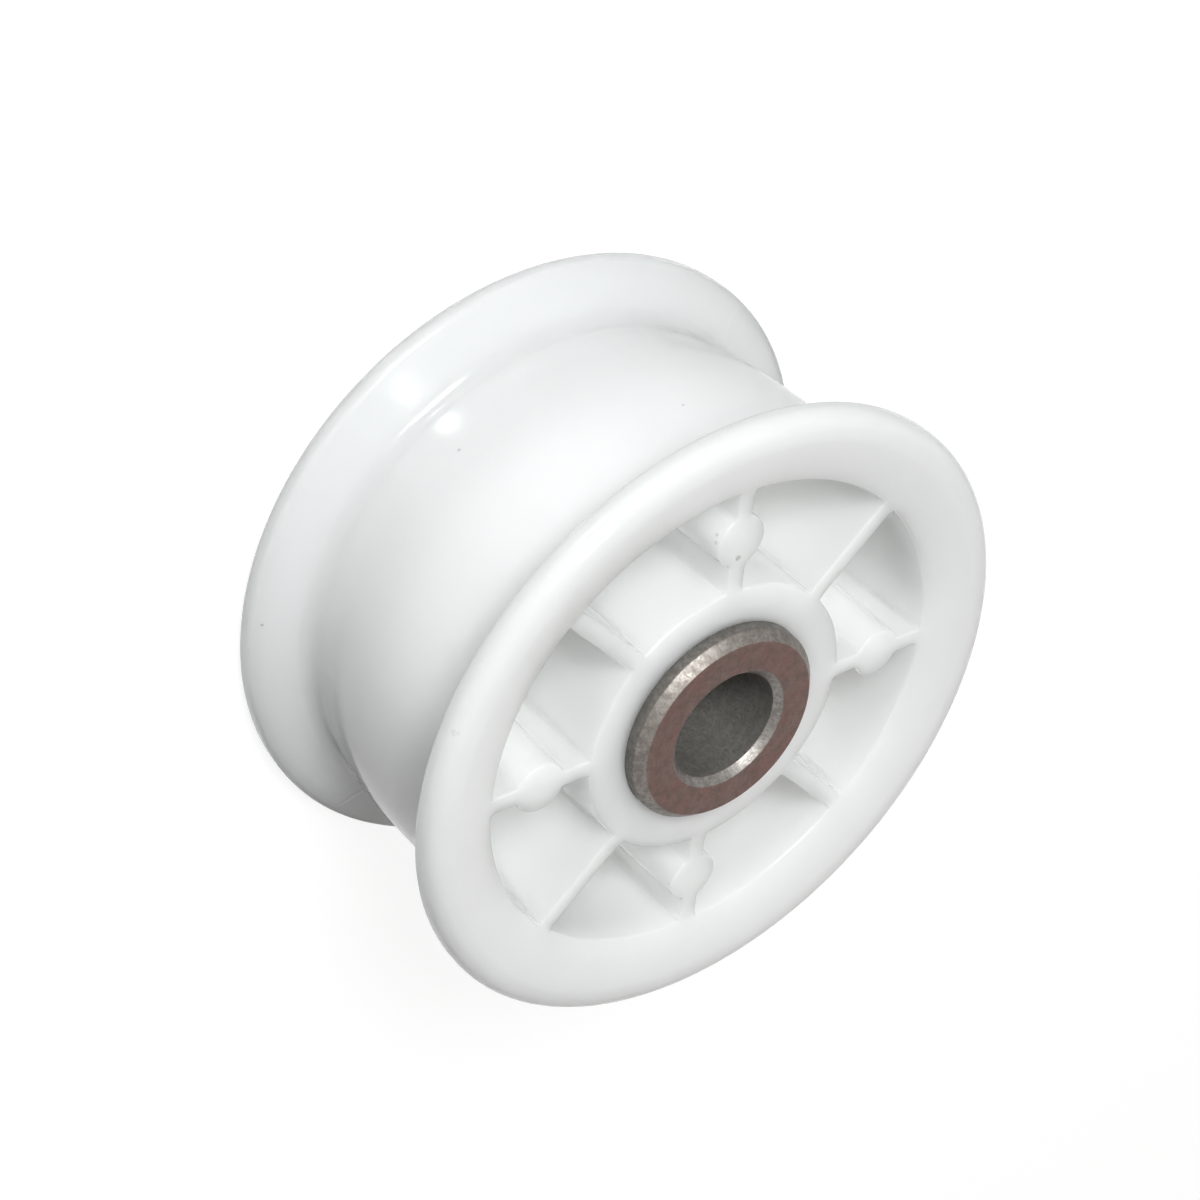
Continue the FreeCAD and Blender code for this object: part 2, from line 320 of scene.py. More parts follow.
def rounded_path(corners):
    """A profile through (r, z, rounding) corners, as points (r, z).

    At each inner corner the two straight runs are joined by an arc that touches both: it starts
    rounding * tan(turn / 2) before the corner, and its centre lies on the corner's bisector.
    """
    place = np.array([c[:2] for c in corners], float)
    pieces = [place[:1]]
    for i in range(1, len(corners) - 1):
        way_in = (place[i] - place[i - 1]) / np.linalg.norm(place[i] - place[i - 1])
        way_out = (place[i + 1] - place[i]) / np.linalg.norm(place[i + 1] - place[i])
        rounding = corners[i][2]
        if rounding == 0.0:
            pieces.append(place[i:i + 1])
            continue
        turn = math.atan2(way_in[0] * way_out[1] - way_in[1] * way_out[0], way_in @ way_out)
        start = place[i] - way_in * rounding * abs(math.tan(turn / 2.0))
        side = math.copysign(1.0, turn)
        centre = start + side * rounding * np.array((-way_in[1], way_in[0]))
        first = math.atan2(start[1] - centre[1], start[0] - centre[0])
        count = max(LEAST_ARC_STEPS, math.ceil(ARC_STEPS * abs(turn) / (0.5 * math.pi)))
        pieces.append(arc(centre[0], centre[1], rounding, first, first + turn,
                          np.linspace(0.0, 1.0, count + 1)))
    pieces.append(place[-1:])
    return np.concatenate(pieces)


def split_runs(path, longest):
    """The path with extra points, so that no straight run is longer than longest."""
    gap = np.linalg.norm(np.diff(path, axis=0), axis=1)
    parts = np.maximum(1, np.ceil(gap / longest)).astype(int)
    pieces = [path[i] + (path[i + 1] - path[i]) * (np.arange(n) / n)[:, None]
              for i, n in enumerate(parts)]
    return np.concatenate(pieces + [path[-1:]])


def turned(path, angles):
    """The profile (r, z) carried round the axis: (r cos a, r sin a, z), with rows along the profile."""
    r, z = path[:, 0, None], path[:, 1, None]
    return np.stack((r * np.cos(angles), r * np.sin(angles), z + 0.0 * angles), axis=-1)


def mirrored(half, closed=False):
    """A half profile and its mirror image in z. A closed profile leaves out the first point's image."""
    return np.concatenate((half, half[-2:0 if closed else None:-1] * (1.0, -1.0)))


def all_round(angles):
    """One sector's angles, without the last, repeated for every sector."""
    start = np.arange(SECTORS)[:, None] * SECTOR
    return (start + angles[None, :-1]).ravel()


def grid_faces(rows, columns, first, closed_rows=False):
    """Quads of a grid whose columns close on themselves, numbered from first."""
    last = rows if closed_rows else rows - 1
    row, column = np.meshgrid(np.arange(last), np.arange(columns), indexing="ij")
    below, beside = (row + 1) % rows, (column + 1) % columns
    corners = (row * columns + column, row * columns + beside, below * columns + beside,
               below * columns + column)
    return first + np.stack(corners, axis=-1).reshape(-1, 4)


def welded_object(name, grids):
    """One smooth, closed mesh object from grids (points, closed_rows), with shared edges merged."""
    points, faces, first = [], [], 0
    for grid, closed_rows in grids:
        rows, columns = grid.shape[:2]
        points.append(grid.reshape(-1, 3))
        faces.append(grid_faces(rows, columns, first, closed_rows))
        first += rows * columns
    mesh = bpy.data.meshes.new(name)
    mesh.from_pydata(np.concatenate(points).tolist(), [], np.concatenate(faces).tolist())
    work = bmesh.new()
    work.from_mesh(mesh)
    bmesh.ops.remove_doubles(work, verts=work.verts, dist=WELD)
    bmesh.ops.dissolve_degenerate(work, dist=SHORTEST_EDGE, edges=work.edges)
    bmesh.ops.recalc_face_normals(work, faces=work.faces)
    open_edges = sum(len(e.link_faces) != 2 for e in work.edges)
    work.to_mesh(mesh)
    work.free()
    if open_edges:
        raise RuntimeError(f"{name} isn't closed: {open_edges} edges don't have two faces")
    mesh.polygons.foreach_set("use_smooth", np.ones(len(mesh.polygons), bool))
    piece = bpy.data.objects.new(name, mesh)
    bpy.context.scene.collection.objects.link(piece)
    even = piece.modifiers.new("Even shading", "WEIGHTED_NORMAL")
    even.mode, even.weight, even.keep_sharp = "FACE_AREA", 50, False
    return piece


class WheelShape:
    """Numbers that the wheel's surfaces share, worked out from its sizes."""

    def __init__(self, sizes):
        self.sizes = sizes
        self.rim = 0.5 * sizes.rim_diameter
        self.rim_top = 0.5 * sizes.width
        self.rim_under = self.rim_top - sizes.rim_thickness
        self.crest = self.rim - sizes.rim_face_rounding - sizes.rim_land
        self.track_end = 0.5 * sizes.track_end_diameter
        self.mouth = self.track_end - sizes.drum_wall
        self.hub = 0.5 * sizes.hub_diameter
        self.hub_top = self.rim_top - sizes.face_recess
        self.floor = 0.5 * sizes.web_thickness
        self.dish = math.atan2(sizes.face_recess, self.crest - self.mouth)
        self.crown = self.track_end + sizes.crown_rise
        root_turn = 0.5 * math.pi - sizes.flange_slope
        self.track_top = (self.rim_under - (self.rim - self.track_end) * math.tan(sizes.flange_slope)
                          - sizes.track_fillet * math.tan(0.5 * root_turn))
        self.boss_place = 0.5 * (self.hub + self.mouth)
        self.inner_circle = self.hub - RING_MARGIN * sizes.edge_rounding
        self.outer_circle = self.mouth + RING_MARGIN * sizes.edge_rounding

    def top(self, r):
        """Height of the open face: the hub face, ribs a little lower, then the sloping dish."""
        off_hub = smooth(self.hub - HUB_BLEND[0], self.hub + HUB_BLEND[1], r)
        past_mouth = smooth(self.mouth - MOUTH_BLEND[0], self.mouth + MOUTH_BLEND[1], r)
        drop = self.sizes.rib_drop * off_hub * (1.0 - past_mouth)
        return self.hub_top - drop + np.maximum(0.0, r - self.mouth) * math.tan(self.dish)


def rib_side(shape, inset, bossed):
    """The part of a pocket's outline along one rib, from the hub to the mouth, in the rib's own frame.

    The rib runs along x. The outline is an arc in the corner at the hub, a line at half the rib's
    thickness plus inset, where the rib has a boss an arc of the boss's radius plus inset with a small
    fillet on each side, and an arc in the corner at the mouth. The corners' arcs grow evenly from the
    corner rounding at the wall's top to the foot rounding at its foot.
    """
    s = shape.sizes
    half = 0.5 * s.rib_thickness + inset
    depth = np.clip(inset / s.wall_draft, 0.0, 1.0)
    corner = s.corner_rounding + (s.foot_rounding - s.corner_rounding) * depth
    rise = half + corner
    at_hub = np.sqrt((shape.hub + inset + corner) ** 2 - rise ** 2)
    at_mouth = np.sqrt((shape.mouth - inset - corner) ** 2 - rise ** 2)
    hub_angle = np.arctan2(rise, at_hub)
    mouth_angle = np.arctan2(rise, at_mouth)
    quarter = 0.5 * math.pi
    pieces = [arc(at_hub, rise, corner, math.pi + hub_angle, 3.0 * quarter, steps(CORNER_STEPS))]
    if bossed:
        boss = 0.5 * s.boss_diameter + inset
        fillet = s.boss_fillet
        lift = half + fillet
        reach = np.sqrt((boss + fillet) ** 2 - lift ** 2)
        lean = np.arctan2(lift, reach)
        middle = shape.boss_place
        pieces += [
            run(at_hub, middle - reach, half, steps(RUN_STEPS)),
            arc(middle - reach, lift, fillet, -quarter, -lean, steps(BOSS_FILLET_STEPS)),
            arc(middle, 0.0, boss, math.pi - lean, lean, steps(BOSS_STEPS)),
            arc(middle + reach, lift, fillet, math.pi + lean, 3.0 * quarter, steps(BOSS_FILLET_STEPS)),
            run(middle + reach, at_mouth, half, steps(RUN_STEPS)),
        ]
    else:
        pieces.append(run(at_hub, at_mouth, half, steps(PLAIN_STEPS)))
    end = np.linspace(0.0, 1.0, CORNER_STEPS + 1)[None, :]
    pieces.append(arc(at_mouth, rise, corner, -quarter, mouth_angle, end))
    return np.concatenate(pieces, axis=1), hub_angle, mouth_angle


def across_sector(points):
    """Points mirrored on the sector's middle line, from its first rib to its second."""
    x, y = points[..., 0], points[..., 1]
    c, s = math.cos(SECTOR), math.sin(SECTOR)
    return np.stack((x * c + y * s, x * s - y * c), axis=-1)


def pocket_outline(shape, inset, bossed):
    """A pocket's closed outline, drawn in by inset: first rib, mouth arc, second rib, hub arc."""
    first, hub_angle, mouth_angle = rib_side(shape, inset, bossed)
    second = across_sector(rib_side(shape, inset, False)[0])[:, ::-1]
    mouth = arc(0.0, 0.0, shape.mouth - inset, mouth_angle, SECTOR - mouth_angle, steps(MOUTH_STEPS))
    hub = arc(0.0, 0.0, shape.hub + inset, SECTOR - hub_angle, hub_angle, steps(HUB_STEPS))
    return np.concatenate((first[:, :-1], mouth, second[:, :-1], hub), axis=1)


def rim_angles():
    """Angles of the grid lines round the belt side in one sector, closer beside the ribs' lines."""
    count = CORNER_STEPS + MOUTH_STEPS + 1 - 2 * len(RIB_LINES)
    plain = np.linspace(FIRST_PLAIN_LINE, SECTOR - FIRST_PLAIN_LINE, count)
    return np.concatenate((RIB_LINES, plain, (SECTOR - RIB_LINES)[::-1]))


def hub_angles():
    """Angles of the grid lines round the hub in one sector."""
    return np.linspace(0.0, SECTOR, CORNER_STEPS + HUB_STEPS + 1)


def sector_border(shape, bossed):
    """The sector's own closed border, with one point for each point of the pocket's outline.

    Corners of the outline go to the border's corners, ribs to the ribs' middle lines, and the arcs to
    the two circles where the hub and the belt side take over.
    """
    half = CORNER_STEPS // 2
    top_edge = np.array([[-shape.sizes.edge_rounding]])

    def middle_line(with_boss):
        x = rib_side(shape, top_edge, with_boss)[0][0, :, 0]
        x = x[CORNER_STEPS:-CORNER_STEPS]
        start = np.linspace(shape.inner_circle, x[0], half, endpoint=False)
        stop = np.linspace(x[-1], shape.outer_circle, half + 1)[1:]
        x = np.concatenate((start, x, stop))
        return np.stack((x, 0.0 * x), axis=-1)

    first = middle_line(bossed)
    second = across_sector(middle_line(False))[::-1]
    mouth = arc(0.0, 0.0, shape.outer_circle, 0.0, 1.0, rim_angles())
    hub = arc(0.0, 0.0, shape.inner_circle, 0.0, 1.0, hub_angles()[::-1])
    border = np.concatenate((first[:-1], mouth[:-1], second[:-1], hub[:-1]))
    return np.roll(border, half, axis=0)[None]


def open_face_sector(shape, bossed):
    """One sector of an open face as a grid, in rows from its border to the floor's middle.

    The edge is an arc of the edge rounding, tilted by the dish's slope at the mouth. The wall leans in
    by the draft, an arc joins it to the floor, and the floor shrinks to a point.
    """
    s = shape.sizes
    edge, fillet = s.edge_rounding, s.floor_fillet
    turn = np.concatenate(((0.0,), np.linspace(shape.dish, 0.5 * math.pi, EDGE_STEPS)))[:, None]
    down = np.linspace(0.0, 1.0, WALL_STEPS + 1)[1:, None]
    bend = np.linspace(0.0, 0.5 * math.pi, FLOOR_FILLET_STEPS + 1)[1:, None]
    inset = np.concatenate((edge * (np.sin(turn) - 1.0), s.wall_draft * down,
                            s.wall_draft + fillet * (1.0 - np.cos(bend))))
    outline = pocket_outline(shape, inset, bossed)
    columns = outline.shape[1]
    second = 2 * CORNER_STEPS + PLAIN_STEPS
    first = columns - MOUTH_STEPS - HUB_STEPS - second
    tilt = np.zeros(columns)
    blend = smooth(0.0, 1.0, np.linspace(0.0, 1.0, CORNER_STEPS + 1))
    tilt[first - CORNER_STEPS:first + 1] = blend * shape.dish
    tilt[first:first + MOUTH_STEPS + 1] = shape.dish
    tilt[first + MOUTH_STEPS:first + MOUTH_STEPS + CORNER_STEPS + 1] = blend[::-1] * shape.dish
    top = shape.top(np.linalg.norm(outline[0], axis=-1))
    centre = top - edge / np.cos(tilt)
    flat = np.cos(tilt) + (np.sin(tilt) - np.sin(turn)) * np.tan(tilt)
    z_edge = centre + edge * np.where(turn < tilt, flat, np.cos(turn))
    z_wall = centre + (shape.floor + fillet - centre) * down
    z_floor = shape.floor + fillet * (1.0 - np.sin(bend)) + np.zeros(columns)
    z = np.concatenate((z_edge, z_wall, z_floor))
    walls = np.concatenate((outline, z[..., None]), axis=-1)
    border = sector_border(shape, bossed)
    border_z = shape.top(np.linalg.norm(border, axis=-1))
    border = np.concatenate((border, border_z[..., None]), axis=-1)
    way = FLOOR_MIDDLE * SECTOR
    middle = np.array((shape.boss_place * math.cos(way), shape.boss_place * math.sin(way), shape.floor))
    inward = np.linspace(0.0, 1.0, FLOOR_STEPS + 1)[1:, None, None]
    floor = walls[-1:] + (middle - walls[-1:]) * inward
    return np.concatenate((border, walls, floor))


def placed_sectors(sector, side):
    """The sector's eight copies round the axis, every other one mirrored, on side +1 or -1."""
    angle = np.arctan2(sector[..., 1], sector[..., 0])
    r = np.linalg.norm(sector[..., :2], axis=-1)
    copies = []
    for number in range(SECTORS):
        a = number * SECTOR + angle if number % 2 == 0 else (number + 1) * SECTOR - angle
        copies.append(np.stack((r * np.cos(a), r * np.sin(a), side * sector[..., 2]), axis=-1))
    return copies


def belt_side_path(shape):
    """Half of the belt side's profile: dish, rim, flange, fillet and crowned track to its middle.

    The crown is a parabola, r = crown - rise (z / track top)^2. The flange's line is followed to where
    it meets that curve.
    """
    s = shape.sizes
    slope = math.tan(s.flange_slope)

    def crown(z):
        return shape.crown - s.crown_rise * (z / shape.track_top) ** 2

    z = shape.track_top
    for _ in range(MEETING_ROUNDS):
        z = shape.rim_under - (shape.rim - crown(z)) * slope
    low = CROWN_SHARE * shape.track_top
    start = (shape.outer_circle, float(shape.top(np.array(shape.outer_circle))), 0.0)
    corners = [
        start,
        (shape.crest, shape.rim_top, s.rim_crest_rounding),
        (shape.rim, shape.rim_top, s.rim_face_rounding),
        (shape.rim, shape.rim_under, s.rim_groove_rounding),
        (crown(z), z, s.track_fillet),
        (crown(low), low, 0.0),
    ]
    path = split_runs(rounded_path(corners), BELT_RUN)
    z_track = np.linspace(low, 0.0, CROWN_STEPS + 1)[1:]
    return np.concatenate((path, np.stack((crown(z_track), z_track), axis=-1)))


def belt_side(shape):
    """The belt side as a turned grid, with the mould's fine parting ridges across it.

    A ridge moves the surface out along its normal by height * exp(-(d / width)^2), where d is the
    distance round the axis from the parting line. It stays off the dishes and the rims.
    """
    path = mirrored(belt_side_path(shape))
    angles = all_round(rim_angles())
    grid = turned(path, angles)
    along = np.gradient(path, axis=0)
    normal = np.stack((-along[:, 1], along[:, 0]), axis=-1)
    normal /= np.linalg.norm(normal, axis=-1, keepdims=True)
    r = path[:, 0]
    on_belt_side = (np.abs(path[:, 1]) < shape.rim_under) & (r < shape.rim - PARTING_OFF_RIM)
    quarter = 0.5 * math.pi
    off = (angles - PARTING_ANGLE + quarter) % math.pi - quarter
    width = shape.sizes.parting_width
    ridge = np.exp(-(r[:, None] * off / width) ** 2) * shape.sizes.parting_height
    ridge *= on_belt_side[:, None]
    out = np.stack((normal[:, :1] * np.cos(angles), normal[:, :1] * np.sin(angles),
                    normal[:, 1:] + 0.0 * angles), axis=-1)
    return grid + out * ridge[..., None]


def hub_bore(shape, bush_radius):
    """The hub's two end faces and the bore that holds the bush, as a turned grid."""
    s = shape.sizes
    clear = bush_radius + BUSH_CLEARANCE
    corners = [
        (shape.inner_circle, shape.hub_top, 0.0),
        (clear, shape.hub_top, s.bore_edge_rounding),
        (clear, 0.0, 0.0),
    ]
    path = mirrored(split_runs(rounded_path(corners), BORE_RUN))
    return turned(path, all_round(hub_angles()))


def wheel_grids(sizes, bush_radius):
    """All grids of the wheel: eight sectors on each face, the belt side and the hub."""
    shape = WheelShape(sizes)
    front = placed_sectors(open_face_sector(shape, True), 1.0)
    back = placed_sectors(open_face_sector(shape, False), -1.0)
    turned_grids = [belt_side(shape), hub_bore(shape, bush_radius)]
    return [(grid, False) for grid in front + back + turned_grids]


def bush_grid(sizes):
    """The bush as a closed turned profile: end face, outer bevel, wall, and back through the bore."""
    end, outer, bore = 0.5 * sizes.span, 0.5 * sizes.diameter, 0.5 * sizes.bore_diameter
    edge = sizes.edge_rounding
    corners = [
        (bore, 0.0, 0.0),
        (bore, end - sizes.bore_bevel, edge),
        (bore + sizes.bore_bevel, end, edge),
        (outer - sizes.bevel_width, end, edge),
        (outer, end - sizes.bevel_height, sizes.wall_rounding),
        (outer, 0.0, 0.0),
    ]
    path = mirrored(split_runs(rounded_path(corners), BUSH_RUN), closed=True)
    angles = np.arange(BUSH_STEPS) * 2.0 * math.pi / BUSH_STEPS
    return turned(path, angles)


def new_material(name):
    """An empty node material, with its tree and its output node."""
    material = bpy.data.materials.new(name)
    material.use_nodes = True
    tree = material.node_tree
    tree.nodes.clear()
    return material, tree, tree.nodes.new("ShaderNodeOutputMaterial")


def add_node(tree, kind, settings=None, inputs=None):
    """A node with settings and inputs by name or number. A socket is linked and a value is set."""
    made = tree.nodes.new(kind)
    for key, value in (settings or {}).items():
        setattr(made, key, value)
    for key, value in (inputs or {}).items():
        if isinstance(value, bpy.types.NodeSocket):
            tree.links.new(value, made.inputs[key])
        else:
            made.inputs[key].default_value = value
    return made


def noise(tree, place, scale, detail=2.0, roughness=0.5):
    """A noise value from 0 to 1, with scale in waves per metre."""
    made = add_node(tree, "ShaderNodeTexNoise", None,
                    {"Vector": place, "Scale": scale, "Detail": detail, "Roughness": roughness})
    return made.outputs["Fac"]


def map_range(tree, value, span, to=WHOLE):
    """The value's stretch span turned into the stretch to, without overshoot."""
    made = add_node(tree, "ShaderNodeMapRange", {"clamp": True}, {
        "Value": value, "From Min": span[0], "From Max": span[1], "To Min": to[0], "To Max": to[1],
    })
    return made.outputs["Result"]


def mix_value(tree, factor, first, second):
    """A mix of two values."""
    return add_node(tree, "ShaderNodeMix", None, {0: factor, 2: first, 3: second}).outputs[0]


def mix_colour(tree, factor, first, second):
    """A mix of two colours, each a socket or a plain colour."""
    made = add_node(tree, "ShaderNodeMix", {"data_type": "RGBA"})
    for key, value in ((0, factor), (6, first), (7, second)):
        if isinstance(value, bpy.types.NodeSocket):
            tree.links.new(value, made.inputs[key])
        else:
            made.inputs[key].default_value = value if key == 0 else (*value, 1.0)
    return made.outputs[2]


def math_node(tree, operation, first, second=0.0, third=0.0):
    """One arithmetic step on values or sockets."""
    made = add_node(tree, "ShaderNodeMath", {"operation": operation},
                    {0: first, 1: second, 2: third})
    return made.outputs[0]


def speck(tree, place, where, reach, uneven):
    """1 within reach of a point and 0 outside, with an edge made ragged by a noise."""
    apart = add_node(tree, "ShaderNodeVectorMath", {"operation": "DISTANCE"}, {0: place, 1: where})
    ragged = math_node(tree, "MULTIPLY_ADD", uneven, SPECK_RAGGED * reach, SPECK_LEAST * reach)
    away = math_node(tree, "DIVIDE", apart.outputs["Value"], ragged)
    return map_range(tree, away, SPECK_SPAN, SPECK_WEIGHT)


def dirt_marks(tree, place):
    """The few specks of dirt on the wheel and a sprinkling of very fine ones, as a weight 0 to 1."""
    uneven = noise(tree, place, DIRT_EDGE_WAVES)
    cells = add_node(tree, "ShaderNodeTexVoronoi", None, {"Vector": place, "Scale": DIRT_CELLS})
    rare = map_range(tree, cells.outputs["Color"], RARE_SPAN)
    near = map_range(tree, cells.outputs["Distance"], NEAR_SPAN, NEAR_WEIGHT)
    marks = math_node(tree, "MULTIPLY", rare, near)
    for where, reach, weight in SPECKS:
        one = math_node(tree, "MULTIPLY", speck(tree, place, where, reach, uneven), weight)
        marks = math_node(tree, "MAXIMUM", marks, one)
    return marks


def white_plastic(finish):
    """White moulded plastic: translucent, faintly cloudy, softly glossy, with a few specks of dirt."""
    material, tree, output = new_material("white_plastic")
    place = add_node(tree, "ShaderNodeTexCoord").outputs["Object"]
    cloud = map_range(tree, noise(tree, place, CLOUD_WAVES, 3.0), CLOUD_SPAN)
    tone = mix_colour(tree, cloud, finish.tone, finish.shade)
    tone = mix_colour(tree, dirt_marks(tree, place), tone, finish.dirt)
    gloss = map_range(tree, noise(tree, place, HANDLING_WAVES, 3.0), NOISE_MIDDLE,
                      (finish.roughness - GLOSS_SPREAD, finish.roughness + GLOSS_SPREAD))
    ripple = add_node(tree, "ShaderNodeBump", None,
                      {**RIPPLE, "Height": noise(tree, place, RIPPLE_WAVES, 1.0)})
    shader = add_node(tree, "ShaderNodeBsdfPrincipled", {"subsurface_method": "RANDOM_WALK"}, {
        "Base Color": tone, "Roughness": gloss, "Normal": ripple.outputs["Normal"],
        "IOR": PLASTIC_IOR, "Specular IOR Level": PLASTIC_SHINE,
        "Subsurface Weight": finish.glow, "Subsurface Radius": (1.0, 1.0, 1.0),
        "Subsurface Scale": finish.glow_depth,
    })
    tree.links.new(shader.outputs["BSDF"], output.inputs["Surface"])
    return material


def bush_zone(tree, name):
    """The weight of one zone of the bush, from its point attribute."""
    return add_node(tree, "ShaderNodeAttribute", {"attribute_name": name}).outputs["Fac"]


def sintered_bronze(finish):
    """Pressed bronze powder: a brown blotchy face, dark pores, grey walls and mottled bright bevels."""
    material, tree, output = new_material("sintered_bronze")
    place = add_node(tree, "ShaderNodeTexCoord").outputs["Object"]
    grain = noise(tree, place, GRAIN_WAVES, 3.0, GRAIN_ROUGHNESS)
    mottle = noise(tree, place, MOTTLE_WAVES, 3.0, GRAIN_ROUGHNESS)
    red = map_range(tree, noise(tree, place, BLOTCH_WAVES), BLOTCH_SPAN)
    bevel, mouth = bush_zone(tree, "bevel"), bush_zone(tree, "mouth")
    base = mix_colour(tree, red, finish.face, finish.blotch)
    base = mix_colour(tree, bush_zone(tree, "wall"), base, finish.wall)
    base = mix_colour(tree, bush_zone(tree, "bore"), base, finish.bore)
    base = mix_colour(tree, bevel, base, finish.burnish)
    base = mix_colour(tree, mouth, base, finish.mouth)
    pores = map_range(tree, grain, PORE_SPAN, PORE_WEIGHT)
    worn = map_range(tree, mottle, WORN_SPAN, WORN_WEIGHT)
    base = mix_colour(tree, math_node(tree, "MAXIMUM", pores, worn), base, finish.pore)
    dull, bright, rubbed = (map_range(tree, mottle, NOISE_MIDDLE, roughness)
                            for roughness in (DULL_ROUGHNESS, BEVEL_ROUGHNESS, MOUTH_ROUGHNESS))
    rough = mix_value(tree, mouth, mix_value(tree, bevel, dull, bright), rubbed)
    metal = map_range(tree, math_node(tree, "MAXIMUM", bevel, mouth), WHOLE, METALLIC)
    bump = add_node(tree, "ShaderNodeBump", None, {**GRAIN_BUMP, "Height": grain})
    shader = add_node(tree, "ShaderNodeBsdfPrincipled", None, {
        "Base Color": base, "Roughness": rough, "Metallic": metal, "Normal": bump.outputs["Normal"],
    })
    tree.links.new(shader.outputs["BSDF"], output.inputs["Surface"])
    return material


def mark_bush_zones(piece, sizes):
    """Point attributes of the bush, each 0 to 1: outer bevel, bore's mouth, wall and bore."""
    mesh = piece.data
    place = np.empty(3 * len(mesh.vertices))
    mesh.vertices.foreach_get("co", place)
    place = place.reshape(-1, 3)
    r, z = np.linalg.norm(place[:, :2], axis=1), np.abs(place[:, 2])
    end, outer, bore = 0.5 * sizes.span, 0.5 * sizes.diameter, 0.5 * sizes.bore_diameter
    below = end - z
    soft = 0.5 * sizes.edge_rounding
    outside = smooth(outer - sizes.bevel_width - soft, outer - sizes.bevel_width + soft, r)
    inside = 1.0 - smooth(bore + sizes.bore_bevel - soft, bore + sizes.bore_bevel + soft, r)
    wall = outside * smooth(sizes.bevel_height - soft, sizes.bevel_height + soft, below)
    in_bore = inside * smooth(sizes.bore_bevel - soft, sizes.bore_bevel + soft, below)
    zones = (("bevel", outside - wall), ("mouth", inside - in_bore), ("wall", wall), ("bore", in_bore))
    for name, value in zones:
        made = mesh.attributes.new(name, "FLOAT", "POINT")
        made.data.foreach_set("value", value.astype(np.float32))


class IDLER_OT_wheel(Operator):
    """Builds the moulded wheel with its flanges, belt track, ribs, bosses and pockets"""

    bl_idname = "idler.wheel"
    bl_label = "Moulded Wheel"

    def execute(self, context):
        scene = context.scene
        grids = wheel_grids(scene.idler_wheel, 0.5 * scene.idler_bush.diameter)
        piece = welded_object("moulded_wheel", grids)
        piece.data.materials.append(white_plastic(scene.idler_plastic))
        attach(piece, "root")
        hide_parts("pulley_wheel")
        return {"FINISHED"}


class IDLER_OT_bush(Operator):
    """Builds the sintered bush with its bevels and its running bore"""

    bl_idname = "idler.bush"
    bl_label = "Sintered Bush"

    def execute(self, context):
        scene = context.scene
        piece = welded_object("sintered_bush", [(bush_grid(scene.idler_bush), True)])
        mark_bush_zones(piece, scene.idler_bush)
        piece.data.materials.append(sintered_bronze(scene.idler_bronze))
        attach(piece, "root")
        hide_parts("bearing_bush")
        return {"FINISHED"}


def add_camera(studio):
    """The camera at its place, aimed at its aim point and rolled about the line of sight."""
    data = bpy.data.cameras.new("camera")
    data.lens, data.sensor_width = studio.lens, SENSOR_WIDTH
    data.clip_start, data.clip_end = CLIP_START, CLIP_END
    camera = bpy.data.objects.new("camera", data)
    bpy.context.scene.collection.objects.link(camera)
    place, aim = Vector(studio.camera_place), Vector(studio.camera_aim)
    turn = (aim - place).to_track_quat("-Z", "Y").to_matrix().to_4x4()
    camera.matrix_world = Matrix.Translation(place) @ turn @ Matrix.Rotation(studio.camera_roll, 4, "Z")
    bpy.context.scene.camera = camera


def add_lamp(name, toward, size, light, tint, shown, shadow):
    """A round area lamp in the direction toward, facing the pulley.

    The light is what reaches a surface square to the lamp, where pi lights a colour as it is written.
    The lamp's power is that light times pi times its squared distance.
    """
    data = bpy.data.lights.new(name, "AREA")
    data.shape, data.size, data.color = "DISK", size, tint
    data.energy = light * math.pi * LAMP_DISTANCE ** 2
    data.use_shadow = shadow
    lamp = bpy.data.objects.new(name, data)
    lamp.visible_glossy = shown
    bpy.context.scene.collection.objects.link(lamp)
    way = Vector(toward).normalized()
    turn = way.to_track_quat("Z", "Y").to_matrix().to_4x4()
    lamp.matrix_world = Matrix.Translation(way * LAMP_DISTANCE) @ turn


def add_floor(studio, height):
    """A pale floor that shows white to the camera and keeps a soft shadow of the pulley."""
    corners = ((-1, -1), (1, -1), (1, 1), (-1, 1))
    mesh = bpy.data.meshes.new("floor")
    mesh.from_pydata([(x * FLOOR_HALF, y * FLOOR_HALF, height) for x, y in corners], [], [(0, 1, 2, 3)])
    floor = bpy.data.objects.new("floor", mesh)
    bpy.context.scene.collection.objects.link(floor)
    material, tree, output = new_material("floor_white")
    glow = add_node(tree, "ShaderNodeEmission", None,
                    {"Color": (*studio.backdrop, 1.0), "Strength": FLOOR_GLOW})
    dull = add_node(tree, "ShaderNodeBsdfDiffuse", None, {"Color": FLOOR_GREY})
    both = add_node(tree, "ShaderNodeAddShader", None, {0: glow.outputs[0], 1: dull.outputs[0]})
    tree.links.new(both.outputs[0], output.inputs["Surface"])
    mesh.materials.append(material)
    floor.visible_shadow = False
    floor.visible_diffuse = False


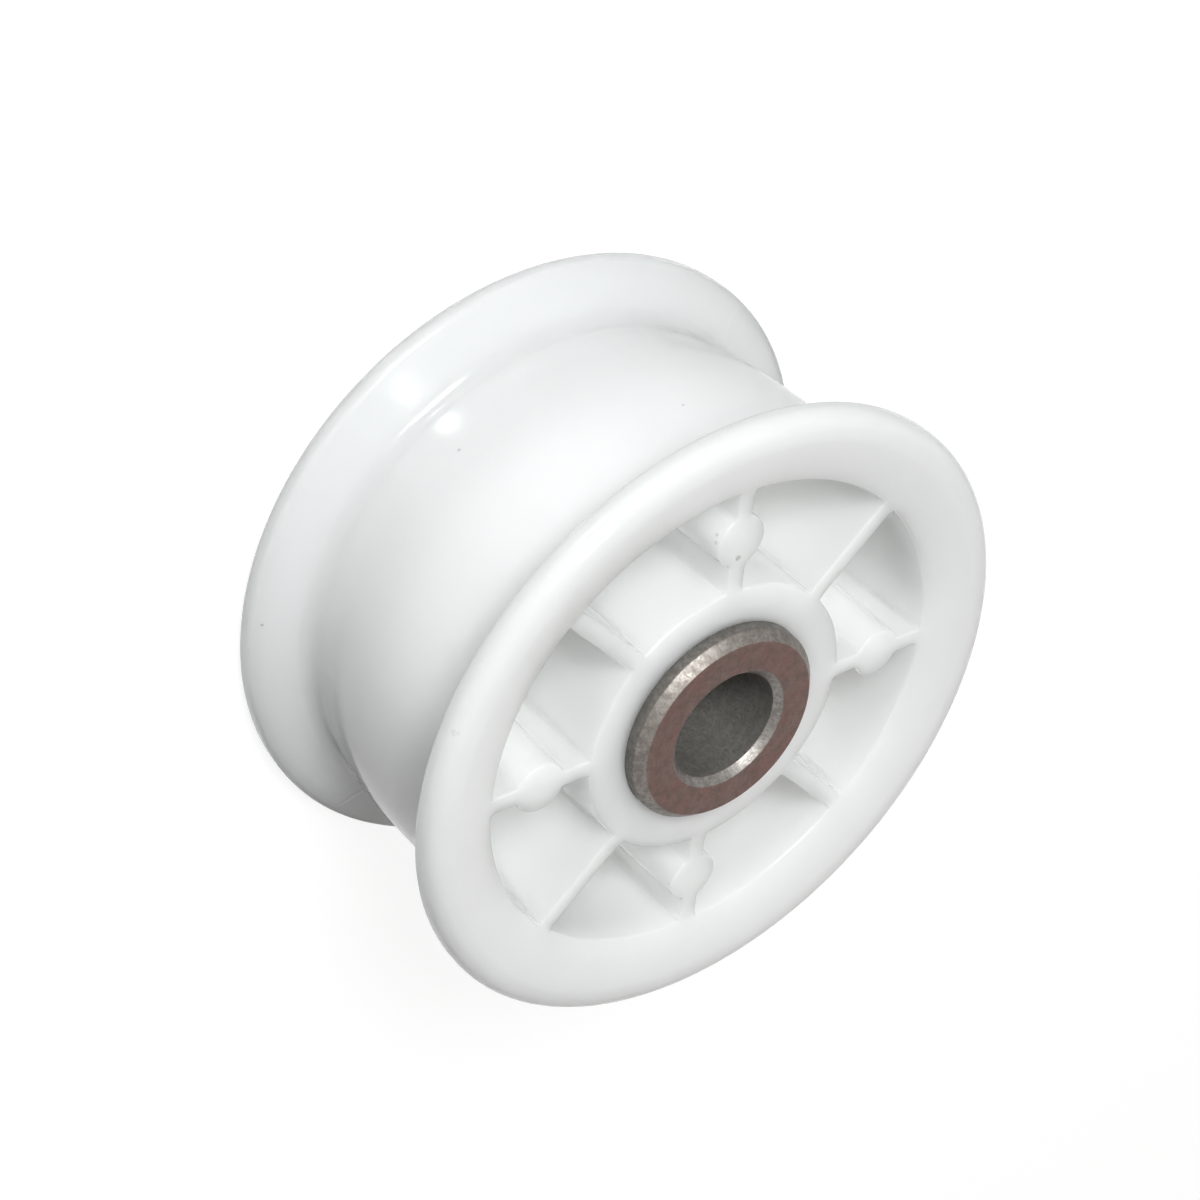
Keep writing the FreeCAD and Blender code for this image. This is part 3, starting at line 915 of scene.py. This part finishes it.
def add_room(studio):
    """The world: the white backdrop as it is seen, reflected or seen through, and a weak even light."""
    world = bpy.data.worlds.new("room")
    bpy.context.scene.world = world
    world.use_nodes = True
    tree = world.node_tree
    tree.nodes.clear()
    output = tree.nodes.new("ShaderNodeOutputWorld")
    rays = add_node(tree, "ShaderNodeLightPath").outputs
    shown = math_node(tree, "MAXIMUM", rays["Is Camera Ray"], rays["Is Transmission Ray"])
    shown = math_node(tree, "MAXIMUM", shown, rays["Is Glossy Ray"])
    tone = mix_colour(tree, shown, studio.room, studio.backdrop)
    back = add_node(tree, "ShaderNodeBackground", None, {"Color": tone, "Strength": 1.0})
    tree.links.new(back.outputs[0], output.inputs["Surface"])


class IDLER_OT_studio(Operator):
    """Sets up the camera, the soft lamps, the pale floor and the white background"""

    bl_idname = "idler.studio"
    bl_label = "Studio"

    def execute(self, context):
        studio = context.scene.idler_studio
        add_camera(studio)
        add_room(studio)
        add_floor(studio, CAD_BOX[0].z)
        for lamp in LAMPS:
            add_lamp(*lamp)
        context.scene.view_settings.view_transform = "Standard"
        return {"FINISHED"}


class IDLER_PT_pulley(Panel):
    """Sidebar panel of the pulley's operators and settings"""

    bl_idname = "IDLER_PT_pulley"
    bl_label = "Idler Pulley"
    bl_space_type = "VIEW_3D"
    bl_region_type = "UI"
    bl_category = "Idler Pulley"

    def draw(self, context):
        for operator, *groups in STEPS:
            self.layout.operator(operator)
            for group in groups:
                for name in GROUPS[group].__annotations__:
                    self.layout.prop(getattr(context.scene, group), name)


GROUPS = {
    "idler_wheel": WheelSizes,
    "idler_bush": BushSizes,
    "idler_plastic": PlasticFinish,
    "idler_bronze": BronzeFinish,
    "idler_studio": StudioSettings,
}
STEPS = (
    ("idler.wheel", "idler_wheel", "idler_plastic"),
    ("idler.bush", "idler_bush", "idler_bronze"),
    ("idler.studio", "idler_studio"),
)
CLASSES = (*GROUPS.values(), IDLER_OT_wheel, IDLER_OT_bush, IDLER_OT_studio, IDLER_PT_pulley)


def register():
    """Registers the classes and hangs their settings on the scene."""
    for cls in CLASSES:
        bpy.utils.register_class(cls)
    for name, group in GROUPS.items():
        setattr(bpy.types.Scene, name, PointerProperty(type=group))


def unregister():
    """Takes the settings and the classes away again."""
    for name in GROUPS:
        delattr(bpy.types.Scene, name)
    for cls in reversed(CLASSES):
        bpy.utils.unregister_class(cls)


def main():
    """Builds the pulley and its studio."""
    register()
    bpy.ops.idler.wheel()
    bpy.ops.idler.bush()
    bpy.ops.idler.studio()


if __name__ == "__main__":
    main()
